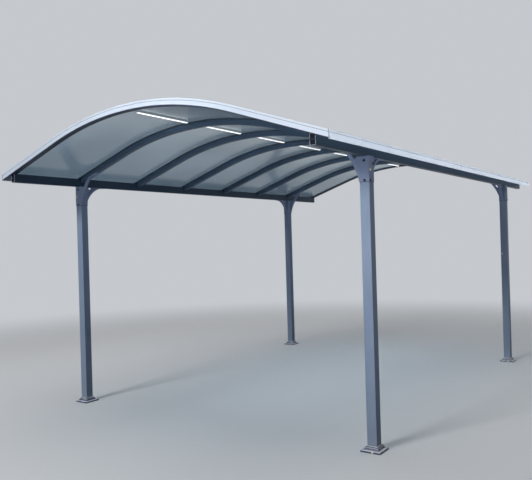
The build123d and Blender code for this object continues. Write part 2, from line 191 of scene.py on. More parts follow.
class Wiring:
    """Short calls for adding and joining nodes in one tree."""

    def __init__(self, tree):
        self.tree = tree

    def node(self, kind, **settings):
        made = self.tree.nodes.new(kind)
        for key, value in settings.items():
            setattr(made, key, value)
        return made

    def feed(self, socket, value):
        """Joins a socket to another one, or sets its own value."""
        if isinstance(value, bpy.types.NodeSocket):
            self.tree.links.new(value, socket)
        else:
            socket.default_value = value

    def math(self, operation, a, b=0.0, clamp=False):
        made = self.node("ShaderNodeMath", operation=operation, use_clamp=clamp)
        self.feed(made.inputs[0], a)
        self.feed(made.inputs[1], b)
        return made.outputs[0]

    def added(self, a, share_a, b, share_b):
        """Two values added by their shares."""
        return self.math("ADD", self.math("MULTIPLY", a, share_a), self.math("MULTIPLY", b, share_b))

    def mix(self, factor, a, b, blend="MIX"):
        made = self.node("ShaderNodeMix", data_type="RGBA", blend_type=blend)
        self.feed(made.inputs["Factor"], factor)
        self.feed(made.inputs[MIX_A], a)
        self.feed(made.inputs[MIX_B], b)
        return made.outputs[MIX_RESULT]

    def tinted(self, color, tint):
        return self.mix(1.0, color, tint, "MULTIPLY")

    def ramp(self, value, low, high, to_low=0.0, to_high=1.0):
        """A smooth step: to_low where the value is low, to_high where it is high."""
        made = self.node("ShaderNodeMapRange", interpolation_type="SMOOTHSTEP")
        self.feed(made.inputs["Value"], value)
        for label, number in (("From Min", low), ("From Max", high), ("To Min", to_low), ("To Max", to_high)):
            self.feed(made.inputs[label], number)
        return made.outputs["Result"]

    def noise(self, vector, scale, detail, roughness=0.55):
        made = self.node("ShaderNodeTexNoise")
        self.feed(made.inputs["Vector"], vector)
        self.feed(made.inputs["Scale"], scale)
        made.inputs["Detail"].default_value = detail
        made.inputs["Roughness"].default_value = roughness
        return made.outputs["Fac"]

    def stretched(self, vector, scale):
        made = self.node("ShaderNodeMapping")
        self.feed(made.inputs["Vector"], vector)
        made.inputs["Scale"].default_value = scale
        return made.outputs[0]

    def split(self, vector):
        made = self.node("ShaderNodeSeparateXYZ")
        self.feed(made.inputs[0], vector)
        return made.outputs

    def roughen(self, shader, height, distance, strength):
        """A bump of that height on the shader's normal."""
        bump = self.node("ShaderNodeBump")
        bump.inputs["Distance"].default_value = distance
        bump.inputs["Strength"].default_value = strength
        self.feed(bump.inputs["Height"], height)
        self.feed(shader.inputs["Normal"], bump.outputs[0])


# Tints of the powder coat's darker and lighter shades, and what a scuff adds to its colour
COAT_DARKER, COAT_LIGHTER = (0.80, 0.83, 0.88, 1), (1.10, 1.08, 1.05, 1)
SCUFF_PALER = (0.10, 0.10, 0.11, 1)


def make_coat_group():
    """Powder coat: slow drift of shade, fine orange-peel grain, and thin pale scuffs."""
    group, source, sink = new_group(
        "powder_coat",
        [("Coordinates", VECTOR, (0, 0, 0)), ("Color", COLOR, (0.5, 0.5, 0.5, 1)), ("Drift", FLOAT, 0.12),
         ("Scuffs", FLOAT, 0.25), ("Base Roughness", FLOAT, 0.42)],
        [("Color", COLOR), ("Roughness", FLOAT), ("Height", FLOAT)],
    )
    w = Wiring(group)
    place, color = source.outputs["Coordinates"], source.outputs["Color"]
    slow = w.noise(place, scale=1.7, detail=4.0)
    fine = w.noise(place, scale=420.0, detail=2.0)
    grit = w.noise(place, scale=1600.0, detail=1.0)
    drift = w.mix(w.ramp(slow, 0.32, 0.68), w.tinted(color, COAT_DARKER), w.tinted(color, COAT_LIGHTER))
    tone = w.mix(w.math("MULTIPLY", source.outputs["Drift"], 4.0, True), color, drift)
    lengthwise = w.stretched(place, (9.0, 9.0, 1.3))
    scratch = w.ramp(w.noise(lengthwise, scale=14.0, detail=6.0, roughness=0.7), 0.64, 0.74)
    scuff = w.math("MULTIPLY", scratch, source.outputs["Scuffs"], True)
    pale = w.mix(1.0, tone, SCUFF_PALER, "ADD")
    w.feed(sink.inputs["Color"], w.mix(scuff, tone, pale))
    rough = w.math("ADD", source.outputs["Base Roughness"], w.ramp(slow, 0.3, 0.7, -0.05, 0.07))
    w.feed(sink.inputs["Roughness"], w.math("ADD", rough, w.math("MULTIPLY", scuff, 0.18)))
    w.feed(sink.inputs["Height"], w.added(fine, 0.7, grit, 0.3))
    return group


def make_edge_group():
    """Mask of worn outside edges: how far a rounded normal leaves the true one, broken up by noise."""
    group, source, sink = new_group(
        "edge_wear",
        [("Coordinates", VECTOR, (0, 0, 0)), ("Width", FLOAT, 0.0015), ("Amount", FLOAT, 0.5)],
        [("Mask", FLOAT)],
    )
    w = Wiring(group)
    soft = w.node("ShaderNodeBevel", samples=4)
    w.feed(soft.inputs["Radius"], source.outputs["Width"])
    true = w.node("ShaderNodeNewGeometry")
    same = w.node("ShaderNodeVectorMath", operation="DOT_PRODUCT")
    w.feed(same.inputs[0], soft.outputs[0])
    w.feed(same.inputs[1], true.outputs["Normal"])
    edge = w.ramp(w.math("SUBTRACT", 1.0, same.outputs["Value"]), 0.02, 0.22)
    patchy = w.ramp(w.noise(source.outputs["Coordinates"], scale=38.0, detail=4.0), 0.36, 0.62)
    worn = w.math("MULTIPLY", edge, patchy)
    w.feed(sink.inputs["Mask"], w.math("MULTIPLY", worn, source.outputs["Amount"], True))
    return group


def make_dust_group():
    """Dust lying on faces that look up, and splashed earth near the ground; puts out a mask of it."""
    group, source, sink = new_group(
        "settled_dust",
        [("Coordinates", VECTOR, (0, 0, 0)), ("On Top", FLOAT, 0.4), ("Near Ground", FLOAT, 0.4),
         ("Reach", FLOAT, 0.35)],
        [("Mask", FLOAT)],
    )
    w = Wiring(group)
    place = source.outputs["Coordinates"]
    up = w.split(w.node("ShaderNodeNewGeometry").outputs["Normal"])[2]
    cloud = w.ramp(w.noise(place, scale=9.0, detail=6.0, roughness=0.65), 0.30, 0.75)
    speck = w.ramp(w.noise(place, scale=160.0, detail=3.0, roughness=0.6), 0.45, 0.70)
    film = w.added(cloud, 0.7, speck, 0.3)
    lying = w.math("MULTIPLY", w.ramp(up, 0.25, 0.95), source.outputs["On Top"])
    height = w.split(place)[2]
    low = w.math("SUBTRACT", 1.0, w.math("DIVIDE", height, source.outputs["Reach"]), True)
    splash = w.math("MULTIPLY", w.math("MULTIPLY", low, low), source.outputs["Near Ground"])
    w.feed(sink.inputs["Mask"], w.math("MULTIPLY", w.math("ADD", lying, splash), film, True))
    return group


POWDER_COAT = make_coat_group()
EDGE_WEAR = make_edge_group()
SETTLED_DUST = make_dust_group()
DUST_COLOR = (0.42, 0.40, 0.37, 1)


def place_group(w, group, **values):
    """A group in a material, with its inputs given by name."""
    made = w.node("ShaderNodeGroup")
    made.node_tree = group
    for label, value in values.items():
        w.feed(made.inputs[label.replace("_", " ")], value)
    return made.outputs


def new_material(name):
    """A material with its Principled shader, wiring and object coordinates."""
    made = bpy.data.materials.new(name)
    made.use_nodes = True
    w = Wiring(made.node_tree)
    shader = made.node_tree.nodes["Principled BSDF"]
    coordinates = w.node("ShaderNodeTexCoord").outputs["Object"]
    return made, w, shader, coordinates


# Bare metal at the beams' cut ends: its colour, and how far in from the end it shows
CUT_METAL, CUT_DEPTH = (0.36, 0.40, 0.46, 1), 0.0008
# Height of the coat's grain, and how strongly it shows
COAT_GRAIN, COAT_GRAIN_STRENGTH = 0.0004, 0.2


def coated_metal(name, color, worn, roughness, drift=0.12, scuffs=0.25, wear=0.5, on_top=0.4,
                 near_ground=0.4, specular=0.3, cut_ends=False):
    """Powder-coated metal with worn edges and settled dust; cut ends show bare metal outside the web."""
    made, w, shader, place = new_material(name)
    coat = place_group(w, POWDER_COAT, Coordinates=place, Color=color, Drift=drift, Scuffs=scuffs,
                       Base_Roughness=roughness)
    edge = place_group(w, EDGE_WEAR, Coordinates=place, Amount=wear)
    dust = place_group(w, SETTLED_DUST, Coordinates=place, On_Top=on_top, Near_Ground=near_ground)
    tone = w.mix(edge["Mask"], coat["Color"], worn)
    tone = w.mix(dust["Mask"], tone, DUST_COLOR)
    rough = w.math("ADD", coat["Roughness"], w.math("MULTIPLY", dust["Mask"], 0.35), True)
    if cut_ends:
        along, height = w.split(place)[1:3]
        cut = w.math("GREATER_THAN", w.math("ABSOLUTE", along), BEAM_HALF_LENGTH - CUT_DEPTH)
        from_web = w.math("ABSOLUTE", w.math("SUBTRACT", height, BEAM_LOW + BEAM_HEIGHT / 2))
        cut = w.math("MULTIPLY", cut, w.math("GREATER_THAN", from_web, BEAM_WALL))
        tone = w.mix(cut, tone, CUT_METAL)
    w.feed(shader.inputs["Base Color"], tone)
    w.feed(shader.inputs["Roughness"], rough)
    shader.inputs["Specular IOR Level"].default_value = specular
    w.roughen(shader, coat["Height"], COAT_GRAIN, COAT_GRAIN_STRENGTH)
    return made


# Colours of the sheet's dark and light clouds, the tint of painted light that makes its crown paler, and its
# run marks
SHEET_DARK, SHEET_LIGHT = (0.210, 0.292, 0.362, 1), (0.278, 0.372, 0.452, 1)
SHEET_LIT_CROWN_TINT, SHEET_RUN_COLOR = (1.70, 1.58, 1.48, 1), (0.36, 0.38, 0.40, 1)
# The crown's painted light is full within the first distance from the middle and gone at the second
SHEET_LIT_CROWN_FROM, SHEET_LIT_CROWN_TO = 0.10, 1.35
SHEET_ROUGHNESS, SHEET_IOR = 0.18, 1.45
# Height of the sheet's waves, and how strongly they show
SHEET_WAVE, SHEET_WAVE_STRENGTH = 0.02, 0.03


def smoke_sheet():
    """Smoke-grey sheet, a little cloudy, with a thin film of dust, faint run marks, slight waves and a crown
    made paler as painted light.
    """
    made, w, shader, place = new_material("smoke_grey_sheet")
    dust = place_group(w, SETTLED_DUST, Coordinates=place, On_Top=0.05, Near_Ground=0.0)
    across = w.split(place)[0]
    drift = w.ramp(w.noise(place, scale=1.7, detail=2.0, roughness=0.45), 0.3, 0.7)
    tone = w.mix(drift, SHEET_DARK, SHEET_LIGHT)
    # Painted light: the sheet is tinted paler towards the crown
    crown = w.ramp(w.math("ABSOLUTE", across), SHEET_LIT_CROWN_FROM, SHEET_LIT_CROWN_TO, 1.0, 0.0)
    tone = w.mix(crown, tone, w.tinted(tone, SHEET_LIT_CROWN_TINT))
    downhill = w.stretched(place, (0.6, 26.0, 0.6))
    runs = w.ramp(w.noise(downhill, scale=2.4, detail=5.0, roughness=0.6), 0.52, 0.74)
    tone = w.mix(w.math("MULTIPLY", runs, 0.06), tone, SHEET_RUN_COLOR)
    tone = w.mix(dust["Mask"], tone, DUST_COLOR)
    w.feed(shader.inputs["Base Color"], tone)
    rough = w.added(runs, 0.04, dust["Mask"], 0.5)
    w.feed(shader.inputs["Roughness"], w.math("ADD", rough, SHEET_ROUGHNESS, True))
    shader.inputs["Transmission Weight"].default_value = 1.0
    shader.inputs["IOR"].default_value = SHEET_IOR
    w.roughen(shader, w.noise(place, scale=2.2, detail=2.0), SHEET_WAVE, SHEET_WAVE_STRENGTH)
    return made


# Tint of the plastic's darker clouds
PLASTIC_CLOUD = (0.84, 0.86, 0.90, 1)
# Heights over which a pale band of painted highlight comes in at its lower edge and fades at its upper one
HIGHLIGHT_RISE, HIGHLIGHT_FALL = 0.0012, 0.0008
# Height of the plastic's grain, and how strongly it shows
LEATHER_GRAIN, LEATHER_GRAIN_STRENGTH = 0.0004, 0.12


def moulded_plastic(name, color, rub_and_highlight_color, roughness, rub, specular=0.6, highlight_bands=()):
    """Moulded plastic with a fine leather grain, pale rubbed edges and a little splashed earth; on the foot
    cover the pale edges are also a painted highlight.

    Bands are heights between which the raised rounds are painted pale all along, as a painted highlight."""
    made, w, shader, place = new_material(name)
    edge = place_group(w, EDGE_WEAR, Coordinates=place, Width=0.0030, Amount=rub)
    dust = place_group(w, SETTLED_DUST, Coordinates=place, On_Top=0.03, Near_Ground=0.05, Reach=0.03)
    slow = w.ramp(w.noise(place, scale=14.0, detail=3.0), 0.3, 0.7)
    tone = w.mix(slow, color, w.tinted(color, PLASTIC_CLOUD))
    # On the foot cover this mask is partly painted highlight: its pale edges and the pale bands along its
    # raised rounds
    worn = edge["Mask"]
    height = w.split(place)[2]
    for low, high in highlight_bands:
        band = w.math("MULTIPLY", w.ramp(height, low, low + HIGHLIGHT_RISE), w.ramp(height, high, high - HIGHLIGHT_FALL))
        worn = w.math("MAXIMUM", worn, w.math("MULTIPLY", band, w.ramp(slow, 0.0, 1.0, 0.70, 1.0)))
    tone = w.mix(worn, tone, rub_and_highlight_color)
    tone = w.mix(dust["Mask"], tone, DUST_COLOR)
    w.feed(shader.inputs["Base Color"], tone)
    w.feed(shader.inputs["Roughness"], w.math("ADD", roughness, w.math("MULTIPLY", slow, 0.08), True))
    shader.inputs["Specular IOR Level"].default_value = specular
    w.roughen(shader, w.noise(place, scale=700.0, detail=2.0), LEATHER_GRAIN, LEATHER_GRAIN_STRENGTH)
    return made


def bare_metal(name, light, dark, roughness=0.35, spangle=90.0):
    """Galvanised or plain metal: a spangle of light and dark cells."""
    made, w, shader, place = new_material(name)
    cells = w.node("ShaderNodeTexVoronoi")
    w.feed(cells.inputs["Vector"], place)
    cells.inputs["Scale"].default_value = spangle
    shade = w.split(cells.outputs["Color"])[0]
    tone = w.mix(shade, dark, light)
    dust = place_group(w, SETTLED_DUST, Coordinates=place, On_Top=0.3, Near_Ground=0.4, Reach=0.05)
    w.feed(shader.inputs["Base Color"], w.mix(dust["Mask"], tone, DUST_COLOR))
    w.feed(shader.inputs["Roughness"], w.ramp(shade, 0.0, 1.0, roughness, roughness + 0.15))
    shader.inputs["Metallic"].default_value = 1.0
    return made


# Tint of the paler bloom on rubber
RUBBER_BLOOM = (1.7, 1.7, 1.7, 1)


def rubber(name, color):
    """Dull rubber with a fine grain."""
    made, w, shader, place = new_material(name)
    shade = w.ramp(w.noise(place, scale=60.0, detail=4.0), 0.3, 0.7)
    w.feed(shader.inputs["Base Color"], w.mix(shade, color, w.tinted(color, RUBBER_BLOOM)))
    w.feed(shader.inputs["Roughness"], w.ramp(shade, 0.0, 1.0, 0.62, 0.80))
    return made


# Distance from one lamp to the next along a light bar, and how brightly the lens glows
LAMP_PITCH, LENS_GLOW = 0.0167, 1.1
# The lens's own colour, and the two ends that its light is mixed from
LENS_COLOR, LENS_DIM, LENS_BRIGHT = (0.9, 0.92, 0.95, 1), (0.80, 0.86, 0.92, 1), (1.0, 1.0, 1.0, 1)


def lit_lens():
    """Milky lens over a row of white lamps: faint beads of light, one at each lamp."""
    made, w, shader, place = new_material("lit_lens")
    along = w.split(place)[1]
    beads = w.math("SINE", w.math("MULTIPLY", along, 2 * math.pi / LAMP_PITCH))
    level = w.ramp(beads, -1.0, 1.0, 0.94, 1.0)
    shader.inputs["Base Color"].default_value = LENS_COLOR
    shader.inputs["Roughness"].default_value = 0.4
    w.feed(shader.inputs["Emission Color"], w.mix(level, LENS_DIM, LENS_BRIGHT))
    shader.inputs["Emission Strength"].default_value = LENS_GLOW
    return made


# ---------------------------------------------------------------- materials

# Painted light: posts and brackets are a lighter copy of the frame's one anthracite coat, standing in for light
# on their fronts
post_coat_painted_light = coated_metal("post_coat_painted_light", (0.250, 0.320, 0.450, 1), (0.50, 0.54, 0.62, 1), 0.42,
                          near_ground=0.45, on_top=0.3, specular=0.10)
bracket_coat_painted_light = coated_metal("bracket_coat_painted_light", (0.262, 0.325, 0.485, 1), (0.52, 0.55, 0.66, 1), 0.42,
                             wear=0.7, specular=0.15)
# Painted shade: beams, ribs and end ribs are darker copies of the same anthracite coat, standing in for the
# shade under the roof
beam_coat_painted_shade = coated_metal("beam_coat_painted_shade", (0.034, 0.060, 0.100, 1), (0.12, 0.15, 0.21, 1), 0.40,
                          specular=0.2, cut_ends=True)
rib_coat_painted_shade = coated_metal("rib_coat_painted_shade", (0.080, 0.125, 0.190, 1), (0.16, 0.20, 0.27, 1), 0.42, specular=0.2)
end_rib_coat_painted_shade = coated_metal("end_rib_coat_painted_shade", (0.022, 0.036, 0.070, 1), (0.12, 0.15, 0.21, 1), 0.42,
                             specular=0.2)
clamp_paint = coated_metal("clamp_paint", (0.080, 0.105, 0.150, 1), (0.30, 0.33, 0.38, 1), 0.42, on_top=0.5)
trim_paint = coated_metal("trim_paint", (0.62, 0.70, 0.82, 1), (0.86, 0.89, 0.94, 1), 0.30, scuffs=0.12,
                          drift=0.06, wear=0.35, on_top=0.35, specular=0.5)
sheet_material = smoke_sheet()
# Lowest and highest height of each raised round of a foot cover, painted pale all along as a highlight
COVER_HIGHLIGHT_ROUNDS = ((0.0112, 0.0156), (0.0262, 0.0304), (0.0360, 0.0410))
# Painted highlight: the foot cover's near-white edges and bands stand in for the gloss on its rounds
cover_plastic_painted_highlights = moulded_plastic("foot_cover_plastic", (0.070, 0.085, 0.155, 1), (0.84, 0.87, 0.97, 1), 0.22,
                                0.4, highlight_bands=COVER_HIGHLIGHT_ROUNDS)
galvanised = bare_metal("galvanised_steel", (0.62, 0.64, 0.66, 1), (0.42, 0.44, 0.47, 1))
channel_metal = bare_metal("channel_metal", (0.66, 0.68, 0.70, 1), (0.58, 0.60, 0.62, 1), 0.28, 260.0)
lens_light = lit_lens()
dark_screw = bare_metal("dark_screw_metal", (0.045, 0.050, 0.065, 1), (0.020, 0.022, 0.030, 1), 0.38, 900.0)
bright_screw = bare_metal("bright_screw_metal", (0.82, 0.84, 0.88, 1), (0.66, 0.68, 0.72, 1), 0.22, 900.0)
black_rubber = rubber("black_rubber", (0.012, 0.012, 0.014, 1))
# Grey rubber for the groove beads, which are painted shade on the trims
groove_shade_rubber = rubber("groove_shade_rubber", (0.060, 0.068, 0.080, 1))
plug_plastic = moulded_plastic("plug_plastic", (0.004, 0.007, 0.018, 1), (0.02, 0.03, 0.05, 1), 0.50, 0.3,
                               specular=0.1)
# Painted glint: the pale yellow-white caps stand in for the glints on the bolts and screws
glint_cap_plastic = moulded_plastic("screw_glint_cap_plastic", (0.90, 0.94, 0.70, 1), (0.94, 0.96, 0.84, 1), 0.30, 0.3)

# The finish of each node, by what its name contains
NODE_MATERIALS = (
    ("_post", post_coat_painted_light), ("_head_bracket", bracket_coat_painted_light), ("_eave_beam", beam_coat_painted_shade),
    ("roof_rib_", rib_coat_painted_shade), ("_end_rib", end_rib_coat_painted_shade), ("clamp_strips", clamp_paint), ("_trim", trim_paint),
    ("roof_sheet_", sheet_material), ("_foot_cover", cover_plastic_painted_highlights), ("_foot_plate", galvanised),
    ("light_channels", channel_metal), ("light_bars", lens_light),
)


def finish(piece, paint):
    """Gives a piece its one material."""
    piece.data.materials.clear()
    piece.data.materials.append(paint)


for node_name, node in nodes.items():
    finish(node, next(paint for part, paint in NODE_MATERIALS if part in node_name))


# ---------------------------------------------------------------- fasteners

def corner_places(across, along, height):
    """The same place at the four corners: across is outwards from the post's axis, along towards the middle."""
    x = CORNER_SIGNS[:, 0] * (POST_X + across)
    y = -CORNER_SIGNS[:, 1] * (-POST_Y + along)
    return np.stack([x, y, np.full(4, height)], -1)


def corner_axes(axis):
    """The same direction at the four corners, given for the front right one."""
    return np.stack([CORNER_SIGNS[:, 0] * axis[0], -CORNER_SIGNS[:, 1] * axis[1], np.full(4, axis[2])], -1)


def one_at_each_corner(spots, height):
    """Places and axes of one spot for each corner in turn; a spot is (across, along, face)."""
    places = [corner_places(across, along, height)[n] for n, (across, along, face) in enumerate(spots)]
    axes = [corner_axes(face)[n] for n, (across, along, face) in enumerate(spots)]
    return places, axes


def pan_head(radius, rise, turns=16):
    """A low domed screw head on a washer, with a drive recess in its top, turned from the profile (r, h)."""
    r = radius * np.array([1.35, 1.35, 1.30, 1.0, 1.0, 0.97, 0.86, 0.62, 0.42, 0.40, 0.38])
    h = rise * np.array([-0.15, 0.18, 0.26, 0.26, 0.55, 0.74, 0.92, 1.0, 1.0, 0.62, 0.55])
    return turned_form(r, h, turns)


def hex_head(radius, rise, turns=24):
    """A six-sided bolt head with a chamfered top on a round washer, each turned from its profile (r, h)."""
    washer_r, washer_h = np.array([1.30, 1.45, 1.45, 1.38]), np.array([-0.1, -0.1, 0.14, 0.2])
    head_r, head_h = np.array([0.87, 0.87, 0.80]), np.array([0.2, 0.88, 1.0])
    return np.concatenate([turned_form(radius * washer_r, rise * washer_h, turns),
                           turned_form(radius * head_r, rise * head_h, turns, 6)])


# Four screws in each head bracket, two in its end face and two in its outer side: across, along, height, face
BRACKET_SCREWS = [
    (0.002, -SLEEVE_HALF, 1.918, FRONT), (0.0025, -SLEEVE_HALF, 1.787, FRONT),
    (SLEEVE_HALF, -0.022, 1.787, SIDE), (SLEEVE_HALF, 0.026, 1.896, SIDE),
]
finish(many_turned(
    "bracket_screws", pan_head(radius=0.0068, rise=0.0042),
    np.concatenate([corner_places(*spot[:3]) for spot in BRACKET_SCREWS]),
    np.concatenate([corner_axes(spot[3]) for spot in BRACKET_SCREWS])), dark_screw)

# One capped bolt in each head bracket: in its end face on the left, in its outer side on the right; its pale
# cap is a painted glint
BOLT_HEIGHT = 1.857
END_BOLT, SIDE_BOLT = (0.027, -SLEEVE_HALF, FRONT), (SLEEVE_HALF, -0.020, SIDE)
bolt_places, bolt_axes = one_at_each_corner([END_BOLT, SIDE_BOLT, SIDE_BOLT, END_BOLT], BOLT_HEIGHT)
finish(many_turned(
    "bracket_bolts", hex_head(radius=0.0075, rise=0.0055), bolt_places, bolt_axes),
    glint_cap_plastic)

# One screw through the rim of each foot cover: in its front face on the right, in its outer face on the left;
# its pale cap is a painted glint
RIM_SCREW_SIDE, RIM_SCREW_HEIGHT = 0.016, 0.0078
OUTER_RIM = (COVER_HALF, -RIM_SCREW_SIDE, SIDE)
FRONT_RIM, INNER_RIM = (RIM_SCREW_SIDE, -COVER_HALF, FRONT), (RIM_SCREW_SIDE, COVER_HALF, INWARD)
rim_places, rim_axes = one_at_each_corner([OUTER_RIM, FRONT_RIM, INNER_RIM, OUTER_RIM], RIM_SCREW_HEIGHT)
finish(many_turned(
    "cover_screws", pan_head(radius=0.0056, rise=0.0030), rim_places, rim_axes),
    glint_cap_plastic)

# A capped screw at mid height in the rear right post, its pale cap a painted glint
MID_SCREW = (POST_X - 0.020, POST_Y - POST_HALF, 1.195)
finish(many_turned(
    "post_screw", pan_head(radius=0.0060, rise=0.0034), [MID_SCREW], [FRONT]),
    glint_cap_plastic)

# Screws that hold the clamp strips down: how far out the last ones lie, and how many a strip has
CLAMP_SCREW_REACH, CLAMP_SCREWS = 1.38, 11
spot_x, spot_y = np.meshgrid(np.linspace(-CLAMP_SCREW_REACH, CLAMP_SCREW_REACH, CLAMP_SCREWS), RIB_PLACES,
                             indexing="ij")
spot_z, spot_normal = roof_line(spot_x.ravel(), CLAMP_TOP)
finish(many_turned(
    "clamp_strip_screws", pan_head(radius=0.0060, rise=0.0040, turns=10),
    np.stack([spot_x.ravel(), spot_y.ravel(), spot_z], -1), spot_normal), bright_screw)


# ---------------------------------------------------------------- seals and plugs

# How far the middle of a bead lies outside the face beside it
SEAL_GAP = 0.0006
RIB_BEAD_RADIUS, RIB_BEAD_STEPS = 0.0014, 97


def rib_beads(name, offset, half_width, end_x):
    """Two round beads along each rib: a circle carried along the roof line at an offset, moved to each side."""
    x = np.linspace(-end_x, end_x, RIB_BEAD_STEPS)
    z, normal = roof_line(x, offset)
    y = np.concatenate([RIB_PLACES - half_width, RIB_PLACES + half_width])
    paths = np.stack(np.broadcast_arrays(x, y[:, None], z), -1)
    normals = np.broadcast_to(normal, paths.shape)
    lengthwise = np.broadcast_to([0.0, 1.0, 0.0], paths.shape)
    return carried_profiles(name, paths, normals, lengthwise, round_profile(RIB_BEAD_RADIUS))


# Rubber beads along the clamp strips above the sheets and along the rib seats below them
STRIP_BEAD_LIFT, STRIP_BEAD_END = 0.0010, 1.490
SEAT_BEAD_DROP, SEAT_BEAD_END = 0.0012, 1.392
finish(rib_beads(
    "clamp_strip_gaskets", SHEET_THICKNESS + STRIP_BEAD_LIFT, CLAMP_HALF_WIDTH + SEAL_GAP, STRIP_BEAD_END),
    black_rubber)
finish(rib_beads("rib_seat_gaskets", -SEAT_BEAD_DROP, RIB_FLANGE_HALF + SEAL_GAP, SEAT_BEAD_END), black_rubber)


def rounded_square(half, corner, steps=6):
    """Points and outward directions round a square with quarter-circle corners, as v goes once round it."""
    quarter = np.linspace(0, math.pi / 2, steps)
    turn = (np.arange(4)[:, None] * math.pi / 2 + quarter[None, :]).ravel()
    outward = np.stack([np.cos(turn), np.sin(turn)], -1)
    sign = np.repeat(np.array([[1, 1], [-1, 1], [-1, -1], [1, -1]], float), steps, axis=0)
    return sign * (half - corner) + corner * outward, outward


def post_rings(name, height, radius):
    """A round bead round each post at that height: ring(u) + r cos(v) outward + r sin(v) up."""
    ring, outward = rounded_square(POST_HALF + SEAL_GAP, POST_CORNER)
    level = np.zeros((len(ring), 1))
    paths = corner_places(0.0, 0.0, height)[:, None, :] + np.concatenate([ring, level], 1)[None]
    out = np.broadcast_to(np.concatenate([outward, level], 1), paths.shape)
    up = np.broadcast_to([0.0, 0.0, 1.0], paths.shape)
    return carried_profiles(name, paths, out, up, round_profile(radius), closed_path=True)


# A black bead under each sleeve's lower edge, which draws a dark line there, and a bead where each cover meets
# its post
SLEEVE_LINE_DROP, COVER_SEAL_DROP = 0.0012, 0.0006
finish(post_rings("sleeve_dark_lines", SLEEVE_BOTTOM - SLEEVE_LINE_DROP, radius=0.0015), black_rubber)
finish(post_rings("cover_seals", COVER_HEIGHT - COVER_SEAL_DROP, radius=0.0016), black_rubber)


def beam_plug(width, height, crown, turns=32):
    """A shallow pillow of squared outline: s(u) times a superellipse in v, raised by h(u) along the axis."""
    v = round_turn(turns)
    power = 6
    squared = (np.abs(np.cos(v)) ** power + np.abs(np.sin(v)) ** power) ** (-1 / power)
    outline = np.stack([width / 2 * squared * np.cos(v), height / 2 * squared * np.sin(v)], -1)
    s = np.array([1.0, 1.0, 0.96, 0.86, 0.80, 0.40])
    h = crown * np.array([-4.0, 0.0, 0.55, 0.80, 0.35, 0.42])
    flat = s[:, None, None] * outline[None]
    return np.concatenate([flat, np.broadcast_to(h[:, None, None], flat.shape[:2] + (1,))], -1)


# Plastic plugs pushed into the two cells at each end of the beams: how deep, how loose and how crowned they are
PLUG_SINK, PLUG_PLAY, PLUG_CROWN = 0.0035, 0.0004, 0.0024
cell_height = (BEAM_HEIGHT - 3 * BEAM_WALL) / 2
cell_width = BEAM_WIDTH - 2 * BEAM_WALL
plug_x, plug_y, plug_z = np.meshgrid(
    [-POST_X, POST_X], np.array([-1, 1]) * (BEAM_HALF_LENGTH - PLUG_SINK),
    BEAM_LOW + BEAM_WALL + cell_height / 2 + np.array([0, cell_height + BEAM_WALL]), indexing="ij")
plug_places = np.stack([plug_x, plug_y, plug_z], -1).reshape(-1, 3)
finish(many_turned(
    "beam_plugs", beam_plug(cell_width - PLUG_PLAY, cell_height - PLUG_PLAY, PLUG_CROWN), plug_places,
    plug_places * [0, 1, 0]), plug_plastic)


# Where the arch shade beads end, how much shorter than the roof an eave bead is at each end, and the steps
# along each
ARCH_SHADE_BEAD_END, EAVE_SHADE_BEAD_SHORT, GROOVE_SHADE_STEPS = 1.530, 0.002, 121
# The share of the groove's depth that a bead fills, and that of its width to each side of the middle
SHADE_BEAD_DEPTH_SHARE, SHADE_BEAD_SIDE_SHARE = 0.85, 0.46


def groove_shade_beads():
    """A half ellipse carried along each groove: two along the arches and two straight ones along the eaves."""
    groove_rise = TRIM_RISE - GROOVE_FROM_TOP - GROOVE_WIDTH / 2
    x = np.linspace(-ARCH_SHADE_BEAD_END, ARCH_SHADE_BEAD_END, GROOVE_SHADE_STEPS)
    z, normal = roof_line(x, groove_rise)
    y = np.linspace(-ROOF_HALF_LENGTH + EAVE_SHADE_BEAD_SHORT, ROOF_HALF_LENGTH - EAVE_SHADE_BEAD_SHORT, GROOVE_SHADE_STEPS)
    eave_z = roof_line(ROOF_HALF_WIDTH, TRIM_RISE)[0] - GROOVE_FROM_TOP - GROOVE_WIDTH / 2
    end_y, eave_x = ROOF_HALF_LENGTH - GROOVE_DEPTH, ROOF_HALF_WIDTH - GROOVE_DEPTH
    arches = [np.stack([x, np.full_like(x, side * end_y), z], -1) for side in (-1, 1)]
    eaves = [np.stack([np.full_like(y, side * eave_x), y, np.full_like(y, eave_z)], -1) for side in (-1, 1)]
    paths = np.stack(arches + eaves)
    outward = np.array([[0, -1.0, 0], [0, 1.0, 0], [-1.0, 0, 0], [1.0, 0, 0]])[:, None, :]
    upward = np.stack([normal, normal] + [np.broadcast_to([0.0, 0.0, 1.0], normal.shape)] * 2)
    v = np.linspace(0, math.pi, 7)
    depth, side = GROOVE_DEPTH * SHADE_BEAD_DEPTH_SHARE, GROOVE_WIDTH * SHADE_BEAD_SIDE_SHARE
    bead = np.stack([depth * np.sin(v), side * np.cos(v)], -1)
    return carried_profiles("trim_groove_shade_beads", paths, np.broadcast_to(outward, paths.shape), upward, bead)


# Grey rubber beads laid in the groove of the arch trims and the eave trims, as painted shade: they darken the
# trims' upper band, which is shade
finish(groove_shade_beads(), groove_shade_rubber)


# ---------------------------------------------------------------- camera, light, floor

# Width of the picture's frame in pixels
PICTURE_WIDTH = 532.0


def turned_to(place, right, up, back):
    """The matrix of a camera or lamp at a place, from the directions of its own three axes."""
    turn = np.eye(4)
    turn[:3, 0], turn[:3, 1], turn[:3, 2], turn[:3, 3] = right, up, back, place
    return Matrix(turn.tolist())


